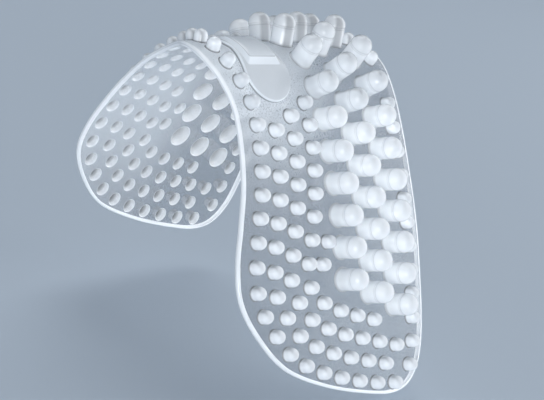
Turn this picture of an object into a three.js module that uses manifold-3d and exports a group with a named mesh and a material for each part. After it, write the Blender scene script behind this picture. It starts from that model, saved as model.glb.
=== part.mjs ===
// Silicone heel grip: one clear moulding with two rounded lobes, worn bent into an arch.
// The outer face carries rings of small domes, three staggered columns of tall pegs and a smooth tab.
// The pad is laid out flat (along its length, across its width) and then bent by a table of slopes.
// The origin is on the inner face at the arch's highest point, with +Z up and the width along Y.
import * as THREE from 'three';
import { mergeVertices } from 'three/addons/utils/BufferGeometryUtils.js';
import Module from 'manifold-3d';

// The sheet, in millimetres
const HALF_LENGTH = 68.5; // middle of the pad to the tip of a lobe, along the bend
const HALF_WIDTH = 25.6; // centre line to the straight edge
const SHEET = 1.0; // thickness
const MIDDLE_DIP = 4.5; // how far the middle of the pad is set sideways from the lobes
const DIP_REACH = 43; // distance from the middle at which that set ends
const CURL_SET = 1.9; // how far the curled lobe's tip side is set sideways, towards +Y
const SHEET_STATIONS = 30; // sections from the middle to one tip

// The small domes
const DOME_RADIUS = 1.3;
const DOME_HEIGHT = 2.4;
const DOME_SIDES = 8;
const DOME_SINK = 0.4; // how deep a dome's foot is buried in the sheet
const RING_MARGIN_SIDE = 4.1; // edge to the first ring along the sides
const RING_MARGIN_TIP = 2.2; // edge to the first ring at the tips
const RING_STEP_SIDE = 4.5; // ring to ring along the sides
const RING_STEP_TIP = 4.0; // ring to ring at the tips
const RING_TURN = 1.5; // power that sets how fast the margins change from side to tip
const RING_EASE = 2.7; // half window that rounds the first ring's direction
const RING_EASE_STEP = 3.15; // what each further ring adds to it
const DOME_PITCH = 3.95; // dome to dome on a ring at the middle of the pad
const PITCH_GROWTH = 0.0145; // growth of that pitch for each millimetre along the ring
const EDGE_PITCH = 4.63; // dome to dome along the straight edge
const EDGE_START = 3.3; // middle of the pad to the first of them

// The pegs
const PEG_RADIUS = 2.15;
const PEG_HEIGHT = 5.9;
const PEG_SIDES = 10;
const PEG_SINK = 0.5;
const PEG_PITCH = 6.03;
const PEG_CLEARANCE = 0.7; // least gap between a dome and a peg
const TAB_CLEARANCE = 0.3; // least gap between a dome and the tab

// The smooth tab at the middle
const TAB_HALF_LENGTH = 11.8;
const TAB_HALF_WIDTH = 5.6;
const TAB_WAIST = 4.7; // its half width at the middle
const TAB_ACROSS = -8.5; // its centre line
const TAB_RISE = 0.6;
const TAB_STATIONS = 7; // sections round its end
const PLATEAU_HALF_LENGTH = 3.3;
const PLATEAU_HALF_WIDTH = 3.4;
const PLATEAU_RISE = 1.3;
const PLATEAU_RAMP = 2.1; // length of its sloping ends
const PLATEAU_BEVEL = 1.2; // width of its sloping sides
const PLATEAU_BURY = 0.3; // how deep its foot is buried in the tab

// Outline of one half: shares of HALF_LENGTH and HALF_WIDTH, from the waved edge round the tip
const OUTLINE = [
  { along: 0, across: -0.85 },
  { along: 0.055, across: -0.835 },
  { along: 0.11, across: -0.785 },
  { along: 0.19, across: -0.74 },
  { along: 0.29, across: -0.755 },
  { along: 0.39, across: -0.8 },
  { along: 0.49, across: -0.88 },
  { along: 0.59, across: -0.95 },
  { along: 0.69, across: -0.94 },
  { along: 0.79, across: -0.785 },
  { along: 0.885, across: -0.52 },
  { along: 0.95, across: -0.09 },
  { along: 0.99, across: 0.38 },
  { along: 0.998, across: 0.63 },
  { along: 0.975, across: 0.81 },
  { along: 0.91, across: 0.935 },
  { along: 0.8, across: 0.99 },
  { along: 0.6, across: 1 },
  { along: 0.3, across: 1 },
  { along: 0, across: 1 },
];

// Bend of the outer face: share of HALF_LENGTH from the middle, and slope in degrees down towards +X.
// Between two rows the pad follows a circular arc. The row with slope 0 is the arch's highest point.
const BEND = [
  { along: -1, slope: -88.8 },
  { along: -0.66, slope: -73.9 },
  { along: -0.47, slope: -61.5 },
  { along: -0.28, slope: -37.5 },
  { along: -0.16, slope: -27 },
  { along: -0.1, slope: -19.9 },
  { along: -0.032, slope: 0 },
  { along: 0.05, slope: 30.3 },
  { along: 0.1, slope: 49.3 },
  { along: 0.2, slope: 62.4 },
  { along: 0.32, slope: 67.5 },
  { along: 1, slope: 67.5 },
];

// Rings of domes, from the edge inwards: where a ring's first dome lies, as a share of HALF_LENGTH
const RINGS = [
  { start: 0 },
  { start: 0.191 },
  { start: 0.215 },
  { start: 0.181 },
  { start: 0.566 },
];

// Columns of pegs: share of HALF_WIDTH, first peg in pitches from the middle, reach as a share of HALF_LENGTH
const PEG_COLUMNS = [
  { across: 0.105, first: 0.5, reach: 0.67 },
  { across: 0.375, first: 0, reach: 0.715 },
  { across: 0.645, first: 0.5, reach: 0.76 },
];

// The two kinds of bump: turns are shares of the radius and the height, from the foot up
const DOME = {
  radius: DOME_RADIUS,
  height: DOME_HEIGHT,
  sink: DOME_SINK,
  sides: DOME_SIDES,
  turns: [{ radius: 0.76, height: 0.72 }],
};
const PEG = {
  radius: PEG_RADIUS,
  height: PEG_HEIGHT,
  sink: PEG_SINK,
  sides: PEG_SIDES,
  turns: [{ radius: 1, height: 0.636 }, { radius: 0.707, height: 0.893 }],
};

// Shares of HALF_WIDTH at which the domes of a ring stop
const RING_STOP = 0.66; // rings, where they meet the domes along the straight edge
const EDGE_STOP = 0.7; // domes along the straight edge, where they meet the first ring
const STRAIGHT_FROM = 0.2; // where the inner rings leave the outline's turn and run straight

// How finely the shapes are worked out
const LOOP_POINTS = 720; // points on the whole outline
const STRAIGHT = 1e-9; // a curvature below this is a straight run
const MERGE = 1e-5; // vertices closer than this are one
const END_EDGE = 0.03; // a slab ends this far short of its tip, so that its end is an edge and not a point

// Bending

function arcStep(slope, curvature, length) {
  const end = slope + curvature * length;
  if (Math.abs(curvature) < STRAIGHT) {
    return { x: Math.cos(slope) * length, z: -Math.sin(slope) * length };
  }
  return {
    x: (Math.sin(end) - Math.sin(slope)) / curvature,
    z: (Math.cos(end) - Math.cos(slope)) / curvature,
  };
}

function bendRows() {
  const rows = BEND.map((row) => ({
    along: row.along * HALF_LENGTH,
    slope: THREE.MathUtils.degToRad(row.slope),
  }));
  const top = BEND.findIndex((row) => row.slope === 0);
  for (let i = 0; i < rows.length - 1; i += 1) {
    rows[i].length = rows[i + 1].along - rows[i].along;
    rows[i].curvature = (rows[i + 1].slope - rows[i].slope) / rows[i].length;
  }
  Object.assign(rows[top], { x: 0, z: SHEET });
  for (let i = top; i < rows.length - 1; i += 1) {
    const step = arcStep(rows[i].slope, rows[i].curvature, rows[i].length);
    Object.assign(rows[i + 1], { x: rows[i].x + step.x, z: rows[i].z + step.z });
  }
  for (let i = top - 1; i >= 0; i -= 1) {
    const step = arcStep(rows[i].slope, rows[i].curvature, rows[i].length);
    Object.assign(rows[i], { x: rows[i + 1].x - step.x, z: rows[i + 1].z - step.z });
  }
  return rows;
}

const rows = bendRows();

function bendAt(along) {
  let i = 0;
  while (i < rows.length - 2 && along > rows[i + 1].along) i += 1;
  const row = rows[i];
  const length = along - row.along;
  const step = arcStep(row.slope, row.curvature, length);
  return { x: row.x + step.x, z: row.z + step.z, slope: row.slope + row.curvature * length };
}

// How far the pad is set towards -Y at a distance from its middle
function dipAt(along) {
  const share = THREE.MathUtils.clamp(along / DIP_REACH, -1, 1);
  const curled = Math.min(share, 0);
  const dip = (MIDDLE_DIP * (1 + Math.cos(Math.PI * share))) / 2;
  return dip - (CURL_SET * (1 - Math.cos(Math.PI * curled))) / 2;
}

// The frame of a spot on the bent pad: lift is measured from the outer face
function frameAt(along, across, lift) {
  const bend = bendAt(along);
  const normal = new THREE.Vector3(Math.sin(bend.slope), 0, Math.cos(bend.slope));
  const tangent = new THREE.Vector3(Math.cos(bend.slope), 0, -Math.sin(bend.slope));
  const spot = new THREE.Vector3(bend.x, across - dipAt(along), bend.z).addScaledVector(normal, lift);
  return new THREE.Matrix4()
    .makeBasis(tangent, new THREE.Vector3(0, 1, 0), normal)
    .setPosition(spot);
}

// The flat layout

function outlineCurve() {
  const half = OUTLINE.map((row) => new THREE.Vector3(row.along * HALF_LENGTH, row.across * HALF_WIDTH, 0));
  const mirrored = half.slice(1, -1).reverse().map((point) => new THREE.Vector3(-point.x, point.y, 0));
  return new THREE.CatmullRomCurve3([...half, ...mirrored], true, 'catmullrom', 0.5);
}

const loop = outlineCurve().getSpacedPoints(LOOP_POINTS).slice(0, LOOP_POINTS);
const LOOP_STEP = loop[0].distanceTo(loop[1]);

// The width of the flat pad at a distance from its middle, read from one side of the outline
function acrossAt(side, along) {
  const half = loop.slice(0, LOOP_POINTS / 2 + 1);
  const tip = half.reduce((best, point, i) => (point.x > half[best].x ? i : best), 0);
  const edge = side < 0 ? half.slice(0, tip + 1) : half.slice(tip).reverse();
  const i = THREE.MathUtils.clamp(edge.findIndex((point) => point.x >= Math.abs(along)), 1, edge.length - 1);
  const share = (Math.abs(along) - edge[i - 1].x) / (edge[i].x - edge[i - 1].x);
  return THREE.MathUtils.lerp(edge[i - 1].y, edge[i].y, THREE.MathUtils.clamp(share, 0, 1));
}

// Half a ring parallel to the outline, with its direction eased round the corners
function ringPath(ring) {
  const ease = Math.max(1, Math.round((RING_EASE + RING_EASE_STEP * ring) / LOOP_STEP));
  const path = [];
  for (let i = 0; i <= LOOP_POINTS / 2; i += 1) {
    const direction = new THREE.Vector3();
    for (let k = i - ease; k <= i + ease; k += 1) {
      direction.add(loop[(k + 1 + LOOP_POINTS) % LOOP_POINTS]);
      direction.sub(loop[(k - 1 + LOOP_POINTS) % LOOP_POINTS]);
    }
    direction.normalize();
    const facing = Math.abs(direction.y) ** RING_TURN;
    const margin = THREE.MathUtils.lerp(RING_MARGIN_SIDE, RING_MARGIN_TIP, facing);
    const step = THREE.MathUtils.lerp(RING_STEP_SIDE, RING_STEP_TIP, facing);
    const inward = new THREE.Vector3(-direction.y, direction.x, 0);
    path.push(loop[i].clone().addScaledVector(inward, margin + ring * step));
  }
  if (ring === 0) return path;
  const turn = path.findIndex((point) => point.x > HALF_LENGTH / 2 && point.y > STRAIGHT_FROM * HALF_WIDTH);
  const run = path[turn].clone().sub(path[turn - 1]).setLength(HALF_WIDTH);
  return [...path.slice(0, turn + 1), path[turn].clone().add(run)];
}

// A point at a distance along a path, or nothing past its end
function pointAlong(path, distance) {
  let left = distance;
  for (let i = 1; i < path.length; i += 1) {
    const step = path[i].distanceTo(path[i - 1]);
    if (left <= step) return path[i - 1].clone().lerp(path[i], left / step);
    left -= step;
  }
  return null;
}

function pegSpots() {
  const spots = [];
  for (const column of PEG_COLUMNS) {
    const across = column.across * HALF_WIDTH;
    for (let along = column.first * PEG_PITCH; along <= column.reach * HALF_LENGTH; along += PEG_PITCH) {
      spots.push({ along, across });
      if (along > 0) spots.push({ along: -along, across });
    }
  }
  return spots;
}

function tabHalfWidth(along) {
  const centre = TAB_HALF_LENGTH - TAB_HALF_WIDTH;
  const distance = Math.abs(along);
  if (distance <= centre) return THREE.MathUtils.lerp(TAB_WAIST, TAB_HALF_WIDTH, distance / centre);
  return Math.sqrt(Math.max(0, TAB_HALF_WIDTH ** 2 - (distance - centre) ** 2));
}

function clearsTab(spot) {
  const room = DOME_RADIUS + TAB_CLEARANCE;
  for (let along = -TAB_HALF_LENGTH; along <= TAB_HALF_LENGTH; along += DOME_RADIUS / 2) {
    const reach = tabHalfWidth(along);
    const aside = Math.max(0, Math.abs(spot.across - TAB_ACROSS) - reach);
    if (Math.hypot(spot.along - along, aside) < room) return false;
  }
  return true;
}

function clearsPegs(spot, pegs) {
  const room = DOME_RADIUS + PEG_RADIUS + PEG_CLEARANCE;
  return pegs.every((peg) => Math.hypot(spot.along - peg.along, spot.across - peg.across) >= room);
}

function domeSpots(pegs) {
  const found = [];
  RINGS.forEach((row, ring) => {
    const path = ringPath(ring);
    for (let arc = row.start * HALF_LENGTH; ; arc += DOME_PITCH + PITCH_GROWTH * arc) {
      const point = pointAlong(path, arc);
      if (!point || point.y > RING_STOP * HALF_WIDTH) break;
      found.push({ along: point.x, across: point.y });
    }
  });
  const edge = ringPath(0).reverse();
  for (let arc = EDGE_START; ; arc += EDGE_PITCH) {
    const point = pointAlong(edge, arc);
    if (!point || point.y < EDGE_STOP * HALF_WIDTH) break;
    found.push({ along: point.x, across: point.y });
  }
  const clear = found.filter((spot) => clearsTab(spot) && clearsPegs(spot, pegs));
  const mirrored = clear.filter((spot) => spot.along > DOME_RADIUS);
  return [...clear, ...mirrored.map((spot) => ({ along: -spot.along, across: spot.across }))];
}

// Solids

function toSolid(geometry) {
  geometry.deleteAttribute('normal');
  geometry.deleteAttribute('uv');
  const merged = mergeVertices(geometry, MERGE);
  return new wasm.Manifold(new wasm.Mesh({
    numProp: 3,
    vertProperties: new Float32Array(merged.attributes.position.array),
    triVerts: new Uint32Array(merged.index.array),
  }));
}

// A slab that follows the bend: each station has its foot's and its top's reach across and lift
function bentSlab(stations) {
  const positions = [];
  const index = [];
  for (const { along, foot, top } of stations) {
    const corners = [
      [foot.from, foot.lift],
      [foot.to, foot.lift],
      [top.to, top.lift],
      [top.from, top.lift],
    ];
    for (const [across, lift] of corners) {
      const point = new THREE.Vector3().setFromMatrixPosition(frameAt(along, across, lift));
      positions.push(point.x, point.y, point.z);
    }
  }
  for (let i = 0; i < stations.length - 1; i += 1) {
    for (let side = 0; side < 4; side += 1) {
      const a = 4 * i + side;
      const b = 4 * i + ((side + 1) % 4);
      index.push(a, b, b + 4, a, b + 4, a + 4);
    }
  }
  const last = 4 * (stations.length - 1);
  index.push(0, 2, 1, 0, 3, 2);
  index.push(last, last + 1, last + 2, last, last + 2, last + 3);
  const geometry = new THREE.BufferGeometry();
  geometry.setAttribute('position', new THREE.Float32BufferAttribute(positions, 3));
  geometry.setIndex(index);
  return toSolid(geometry);
}

function sheetSolid() {
  const tip = Math.max(...loop.map((point) => point.x)) - END_EDGE;
  const stations = [];
  for (let i = -SHEET_STATIONS; i <= SHEET_STATIONS; i += 1) {
    const along = tip * Math.sin((Math.PI / 2) * (i / SHEET_STATIONS));
    const from = acrossAt(-1, along);
    const to = acrossAt(1, along);
    stations.push({ along, foot: { from, to, lift: -SHEET }, top: { from, to, lift: 0 } });
  }
  return bentSlab(stations);
}

function tabSolid() {
  const centre = TAB_HALF_LENGTH - TAB_HALF_WIDTH;
  const end = [];
  for (let i = 0; i < TAB_STATIONS; i += 1) {
    end.push(centre + TAB_HALF_WIDTH * Math.sin((Math.PI / 2) * (i / TAB_STATIONS)));
  }
  end.push(TAB_HALF_LENGTH - END_EDGE);
  const half = [centre / 2, ...end];
  const alongs = [...half.map((along) => -along).reverse(), 0, ...half];
  return bentSlab(alongs.map((along) => {
    const reach = { from: TAB_ACROSS - tabHalfWidth(along), to: TAB_ACROSS + tabHalfWidth(along) };
    return { along, foot: { ...reach, lift: -SHEET / 2 }, top: { ...reach, lift: TAB_RISE } };
  }));
}

function plateauSolid() {
  const foot = PLATEAU_HALF_LENGTH + PLATEAU_RAMP;
  const low = TAB_RISE - PLATEAU_BURY;
  const station = (along, lift) => {
    const share = (lift - low) / (PLATEAU_RISE - low);
    const flank = PLATEAU_HALF_WIDTH + PLATEAU_BEVEL;
    const crest = THREE.MathUtils.lerp(flank, PLATEAU_HALF_WIDTH, share);
    return {
      along,
      foot: { from: TAB_ACROSS - flank, to: TAB_ACROSS + flank, lift: low - PLATEAU_BURY },
      top: { from: TAB_ACROSS - crest, to: TAB_ACROSS + crest, lift },
    };
  };
  return bentSlab([
    station(-foot, low),
    station(-PLATEAU_HALF_LENGTH, PLATEAU_RISE),
    station(0, PLATEAU_RISE),
    station(PLATEAU_HALF_LENGTH, PLATEAU_RISE),
    station(foot, low),
  ]);
}

// A bump on the outer face, turned from its shape's table and closed by a point at its full height
function bumpSolid(spot, shape) {
  const profile = [
    new THREE.Vector2(0, -shape.sink),
    new THREE.Vector2(shape.radius, -shape.sink),
    ...shape.turns.map((turn) => new THREE.Vector2(turn.radius * shape.radius, turn.height * shape.height)),
    new THREE.Vector2(0, shape.height),
  ];
  const geometry = new THREE.LatheGeometry(profile, shape.sides);
  geometry.rotateX(Math.PI / 2);
  geometry.applyMatrix4(frameAt(spot.along, spot.across, 0));
  return toSolid(geometry);
}

function gripSolid() {
  const pegs = pegSpots();
  const bumps = [
    ...pegs.map((spot) => bumpSolid(spot, PEG)),
    ...domeSpots(pegs).map((spot) => bumpSolid(spot, DOME)),
  ];
  const plain = sheetSolid().add(tabSolid()).add(plateauSolid());
  return bumps.reduce((solid, bump) => solid.add(bump), plain);
}

const wasm = await Module();
wasm.setup();

function toGeometry(solid) {
  const mesh = solid.getMesh();
  const geometry = new THREE.BufferGeometry();
  geometry.setAttribute('position', new THREE.Float32BufferAttribute(mesh.vertProperties, 3));
  geometry.setIndex(Array.from(mesh.triVerts));
  geometry.computeVertexNormals();
  return geometry;
}

const silicone = new THREE.MeshStandardMaterial({ color: 0xdfe6ee, roughness: 0.25, metalness: 0 });
const gripPad = new THREE.Mesh(toGeometry(gripSolid()), silicone);
gripPad.name = 'grip_pad';

const heelGrip = new THREE.Group();
heelGrip.add(gripPad);

export default heelGrip;
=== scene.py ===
"""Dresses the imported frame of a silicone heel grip: one clear moulding, a pale floor and soft light.

The pad is laid out flat, along its length and across its width, and each point is then carried to the
bent pad by a table of slopes. All sizes are in metres.
"""
import math
from collections import namedtuple

import bmesh
import bpy
import numpy as np
from bpy.props import FloatProperty, FloatVectorProperty, IntProperty, PointerProperty
from mathutils import Matrix, Vector, geometry, kdtree


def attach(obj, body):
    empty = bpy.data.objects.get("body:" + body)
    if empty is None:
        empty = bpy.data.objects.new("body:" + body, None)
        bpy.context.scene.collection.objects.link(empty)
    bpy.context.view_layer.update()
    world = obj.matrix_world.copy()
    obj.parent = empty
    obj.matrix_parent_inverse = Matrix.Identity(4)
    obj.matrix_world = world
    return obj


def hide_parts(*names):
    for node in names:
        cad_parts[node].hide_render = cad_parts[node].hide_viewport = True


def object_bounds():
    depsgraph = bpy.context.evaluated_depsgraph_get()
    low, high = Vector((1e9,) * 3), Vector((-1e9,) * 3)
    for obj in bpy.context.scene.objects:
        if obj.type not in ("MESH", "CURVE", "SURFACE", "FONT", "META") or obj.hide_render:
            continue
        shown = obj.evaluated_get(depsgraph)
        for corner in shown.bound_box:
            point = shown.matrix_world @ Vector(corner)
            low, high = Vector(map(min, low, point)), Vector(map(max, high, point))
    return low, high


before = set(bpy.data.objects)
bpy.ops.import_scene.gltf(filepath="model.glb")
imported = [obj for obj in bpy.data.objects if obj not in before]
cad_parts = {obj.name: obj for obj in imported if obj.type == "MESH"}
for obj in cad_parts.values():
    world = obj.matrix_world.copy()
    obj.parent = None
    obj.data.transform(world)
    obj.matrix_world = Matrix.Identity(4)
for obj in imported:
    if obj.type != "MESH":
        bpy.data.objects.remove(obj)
CAD_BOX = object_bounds()

bl_info = {
    "name": "Silicone heel grip",
    "version": (1, 0, 0),
    "blender": (4, 5, 0),
    "location": "3D View > Sidebar > Heel grip",
    "description": "Builds a clear silicone heel grip with domes, pegs and a tab, and its studio",
    "category": "Object",
}

NODE = "grip_pad"
BODY = "root"
PIECE = "heel_grip_moulding"
MM = 0.001

# Outline of one half, from the waved edge round the tip: shares of half the length and half the width
OutlineRow = namedtuple("OutlineRow", "along across")
OUTLINE = [
    OutlineRow(0, -0.85),
    OutlineRow(0.055, -0.835),
    OutlineRow(0.11, -0.785),
    OutlineRow(0.19, -0.74),
    OutlineRow(0.29, -0.755),
    OutlineRow(0.39, -0.8),
    OutlineRow(0.49, -0.88),
    OutlineRow(0.59, -0.95),
    OutlineRow(0.69, -0.94),
    OutlineRow(0.79, -0.785),
    OutlineRow(0.885, -0.52),
    OutlineRow(0.95, -0.09),
    OutlineRow(0.99, 0.38),
    OutlineRow(0.998, 0.63),
    OutlineRow(0.975, 0.81),
    OutlineRow(0.91, 0.935),
    OutlineRow(0.8, 0.99),
    OutlineRow(0.6, 1),
    OutlineRow(0.3, 1),
    OutlineRow(0, 1),
]

# Bend of the outer face: share of half the length, and slope in degrees down towards +X
BendRow = namedtuple("BendRow", "along slope")
BEND = [
    BendRow(-1, -88.8),
    BendRow(-0.66, -73.9),
    BendRow(-0.47, -61.5),
    BendRow(-0.28, -37.5),
    BendRow(-0.16, -27),
    BendRow(-0.1, -19.9),
    BendRow(-0.032, 0),
    BendRow(0.05, 30.3),
    BendRow(0.1, 49.3),
    BendRow(0.2, 62.4),
    BendRow(0.32, 67.5),
    BendRow(1, 67.5),
]

# Where each ring's first dome lies, from the edge inwards, as a share of half the length
RING_STARTS = [0, 0.191, 0.215, 0.181, 0.566]

# Columns of pegs: share of half the width, first peg in pitches, reach as a share of half the length
PegColumn = namedtuple("PegColumn", "across first reach")
PEG_COLUMNS = [
    PegColumn(0.105, 0.5, 0.67),
    PegColumn(0.375, 0, 0.715),
    PegColumn(0.645, 0.5, 0.76),
]

# Shares of half the width
RING_STOP = 0.66
EDGE_STOP = 0.7
STRAIGHT_FROM = 0.2

# Groove under a peg's cap: shares of its width and depth
SeamRow = namedtuple("SeamRow", "across depth")
SEAM = [SeamRow(0, 0), SeamRow(0.25, 0.7), SeamRow(0.5, 1), SeamRow(0.75, 0.7), SeamRow(1, 0)]
SEAM_DROP = 2  # groove widths from the cap's foot down to the groove's lower edge

# Share of a bump's height over which its foot follows the bend
DOME_SETTLE = 1 / 3
PEG_SETTLE = 1 / 4

# Shares of the climb at which the plateau's slopes have points
SLOPE_PARTS = (0, 0.06, 0.94, 1)

# How finely the shapes are worked out
LOOP_POINTS = 720
LOOP_STRIDE = 2
CURVE_STEPS = 24
ROUND_STEPS = 5
FOOT_STEPS = 3
CAP_STEPS = 7
WELD = 0.002 * MM
STRAIGHT = 1e-6
CDT_GAP = 1e-7


def length(name, description, millimetres):
    return FloatProperty(
        name=name,
        description=description,
        default=millimetres * MM,
        min=0.0,
        precision=5,
        subtype="DISTANCE",
        unit="LENGTH",
    )


def colour(name, description, value):
    return FloatVectorProperty(
        name=name, description=description, default=value, size=3, min=0.0, max=1.0, subtype="COLOR"
    )


def share(name, description, value):
    return FloatProperty(
        name=name, description=description, default=value, min=0.0, max=1.0, subtype="FACTOR"
    )


class HeelGripSheet(bpy.types.PropertyGroup):
    half_length: length("Half length", "Middle of the pad to the tip of a lobe, along the bend", 68.5)
    half_width: length("Half width", "Centre line to the straight edge", 25.6)
    thickness: length("Thickness", "Thickness of the sheet", 1.0)
    dip: length("Dip", "How far the middle is set sideways from the lobes", 4.5)
    dip_reach: length("Dip reach", "Distance from the middle at which that set ends", 43)
    curl_set: length("Curl set", "How far the curled lobe is set sideways, towards +Y", 1.9)
    rim: length("Rim radius", "Rounding of the sheet's edge", 0.42)
    # The rounded edge and this band are painted white as a highlight where the edge catches light
    band: length("Rim band", "Width of the bright band along that edge", 0.2)
    spacing: length("Spacing", "Distance between points on the sheet", 1.15)


class HeelGripDomes(bpy.types.PropertyGroup):
    radius: length("Radius", "Radius of a dome", 1.3)
    height: length("Height", "Height of a dome over the sheet", 2.4)
    fillet: length("Fillet", "Rounding at a dome's foot", 0.2)
    pitch: length("Pitch", "Dome to dome on a ring, at the middle of the pad", 3.95)
    growth: FloatProperty(
        name="Pitch growth", description="Growth of the pitch along the ring", default=0.0145, min=0.0
    )
    edge_pitch: length("Edge pitch", "Dome to dome along the straight edge", 4.63)
    edge_start: length("Edge start", "Middle of the pad to the first dome of that edge", 3.3)
    margin_side: length("Side margin", "Edge to the first ring along the sides", 4.1)
    margin_tip: length("Tip margin", "Edge to the first ring at the tips", 2.2)
    step_side: length("Side step", "Ring to ring along the sides", 4.5)
    step_tip: length("Tip step", "Ring to ring at the tips", 4.0)
    turn: FloatProperty(
        name="Turn", description="Power that sets how fast margins change from side to tip", default=1.5
    )
    ease: length("Ease", "Half window that rounds the first ring's direction", 2.7)
    ease_step: length("Ease step", "What each further ring adds to that window", 3.15)
    peg_gap: length("Gap to pegs", "Least gap between a dome and a peg", 0.7)
    tab_gap: length("Gap to tab", "Least gap between a dome and the tab", 0.3)
    sides: IntProperty(name="Sides", description="Points round a dome", default=22, min=8)


class HeelGripPegs(bpy.types.PropertyGroup):
    radius: length("Radius", "Radius of a peg", 2.15)
    height: length("Height", "Height of a peg over the sheet", 5.9)
    cap: length("Cap height", "Height of a peg's round cap", 2.0)
    fillet: length("Fillet", "Rounding at a peg's foot", 0.28)
    pitch: length("Pitch", "Peg to peg in a column", 6.03)
    seam_depth: length("Seam depth", "Depth of the fine groove under the cap", 0.07)
    seam_width: length("Seam width", "Width of that groove", 0.3)
    sides: IntProperty(name="Sides", description="Points round a peg", default=32, min=8)


class HeelGripTab(bpy.types.PropertyGroup):
    half_length: length("Half length", "Middle of the tab to its round end", 11.8)
    half_width: length("Half width", "Half width at its ends", 5.6)
    waist: length("Waist", "Half width at its middle", 4.7)
    across: length("Set", "Distance of its centre line from the pad's, towards the waved edge", 8.5)
    rise: length("Rise", "Height over the sheet", 0.6)
    edge: length("Edge", "Rounding of its edge", 0.42)
    plateau_half_length: length("Plateau half length", "Half length of the raised middle's top", 3.3)
    plateau_half_width: length("Plateau half width", "Half width of the raised middle's top", 3.4)
    plateau_rise: length("Plateau rise", "Height of the raised middle over the sheet", 1.3)
    ramp: length("Ramp", "Length of the raised middle's sloping ends", 1.47)
    bevel: length("Bevel", "Width of its sloping sides", 0.82)
    corner: length("Corner", "Radius of its corners", 0.5)
    sides: IntProperty(name="Sides", description="Points round the tab", default=128, min=16)


class HeelGripFinish(bpy.types.PropertyGroup):
    clear: colour("Clear", "Tint of the clear sheet", (0.90, 0.94, 0.98))
    # Painted shade: a near-black tint that darkens the clear sheet where its haze is least
    thin_painted_shade: colour("Thin painted shade", "Tint of the sheet where it is clearest", (0.07, 0.09, 0.12))
    milk: colour("Milk", "Tint of the milky domes and pegs", (0.96, 0.98, 1.0))
    shade: colour("Shade", "Tint of their greyer parts", (0.84, 0.89, 0.94))
    floor: colour("Floor", "Colour of the floor", (0.5, 0.57, 0.65))
    # The haze below is partly the moulding's real haze and partly painted sheen, whiter where the pad is
    # seen at a glancing angle
    lobe_haze_and_sheen: share("Flat lobe haze", "How white the flat lobe looks", 0.36)
    crown_haze_and_sheen: share("Crown haze", "How white the top of the arch looks", 0.92)
    far_haze_and_sheen: share("Curled lobe haze", "How white the curled lobe looks", 0.85)
    aside_haze_and_sheen: share("Haze aside", "Share of the haze that is left towards the straight edge", 0.62)
    grain: length("Grain", "Size of the fine grain of the moulding", 0.28)
    # Bumps nearer the middle than this stay clearer; the rest are whitened as if lit, a painted light
    painted_lit_from: length("Clear from", "Distance from the middle at which the clearer bumps end", 13)


# The flat layout


def outline_loop(sheet):
    """Evenly spaced points round the whole flat outline, as rows of along and across."""
    half = [(row.along * sheet.half_length, row.across * sheet.half_width) for row in OUTLINE]
    knots = np.array(half + [(-along, across) for along, across in reversed(half[1:-1])])
    steps = np.linspace(0, 1, CURVE_STEPS, endpoint=False)[:, None]
    points = []
    for i in range(len(knots)):
        before, start, end, after = (knots[(i + k) % len(knots)] for k in (-1, 0, 1, 2))
        leave, arrive = (end - before) / 2, (after - start) / 2
        points.append(
            start
            + leave * steps
            + (3 * (end - start) - 2 * leave - arrive) * steps**2
            + (2 * (start - end) + leave + arrive) * steps**3
        )
    return even_loop(np.concatenate(points), LOOP_POINTS)


def even_loop(points, count):
    closed = np.vstack([points, points[:1]])
    distance = np.concatenate([[0], np.cumsum(np.linalg.norm(np.diff(closed, axis=0), axis=1))])
    wanted = np.linspace(0, distance[-1], count, endpoint=False)
    return np.stack([np.interp(wanted, distance, closed[:, k]) for k in (0, 1)], axis=1)


def inset(loop, distance):
    """The loop moved inwards by a distance. Loops run anticlockwise."""
    direction = np.roll(loop, -1, axis=0) - np.roll(loop, 1, axis=0)
    direction /= np.linalg.norm(direction, axis=1)[:, None]
    return loop + np.stack([-direction[:, 1], direction[:, 0]], axis=1) * distance


def ring_path(loop, sheet, domes, ring):
    """Half a ring parallel to the outline, with its direction eased round the corners."""
    step = np.linalg.norm(loop[1] - loop[0])
    ease = max(1, round((domes.ease + domes.ease_step * ring) / step))
    chords = np.roll(loop, -1, axis=0) - np.roll(loop, 1, axis=0)
    direction = sum(np.roll(chords, shift, axis=0) for shift in range(-ease, ease + 1))
    direction /= np.linalg.norm(direction, axis=1)[:, None]
    facing = np.abs(direction[:, 1]) ** domes.turn
    margin = domes.margin_side + (domes.margin_tip - domes.margin_side) * facing
    margin += ring * (domes.step_side + (domes.step_tip - domes.step_side) * facing)
    path = loop + np.stack([-direction[:, 1], direction[:, 0]], axis=1) * margin[:, None]
    path = path[: LOOP_POINTS // 2 + 1]
    if ring == 0:
        return path
    past = (path[:, 0] > sheet.half_length / 2) & (path[:, 1] > STRAIGHT_FROM * sheet.half_width)
    turn = int(np.argmax(past))
    run = path[turn] - path[turn - 1]
    end = path[turn] + run / np.linalg.norm(run) * sheet.half_width
    return np.vstack([path[: turn + 1], end])


def points_along(path, distances):
    walked = np.concatenate([[0], np.cumsum(np.linalg.norm(np.diff(path, axis=0), axis=1))])
    kept = [d for d in distances if d <= walked[-1]]
    return np.stack([np.interp(kept, walked, path[:, k]) for k in (0, 1)], axis=1)


def peg_spots(sheet, pegs):
    spots = []
    for column in PEG_COLUMNS:
        first = column.first * pegs.pitch
        alongs = np.arange(first, column.reach * sheet.half_length, pegs.pitch)
        for along in alongs:
            spots.append((along, column.across * sheet.half_width))
            if along > 0:
                spots.append((-along, column.across * sheet.half_width))
    return np.array(spots)


def growing_distances(start, pitch, growth, end):
    distances = []
    distance = start
    while distance < end:
        distances.append(distance)
        distance += pitch + growth * distance
    return distances


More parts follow.
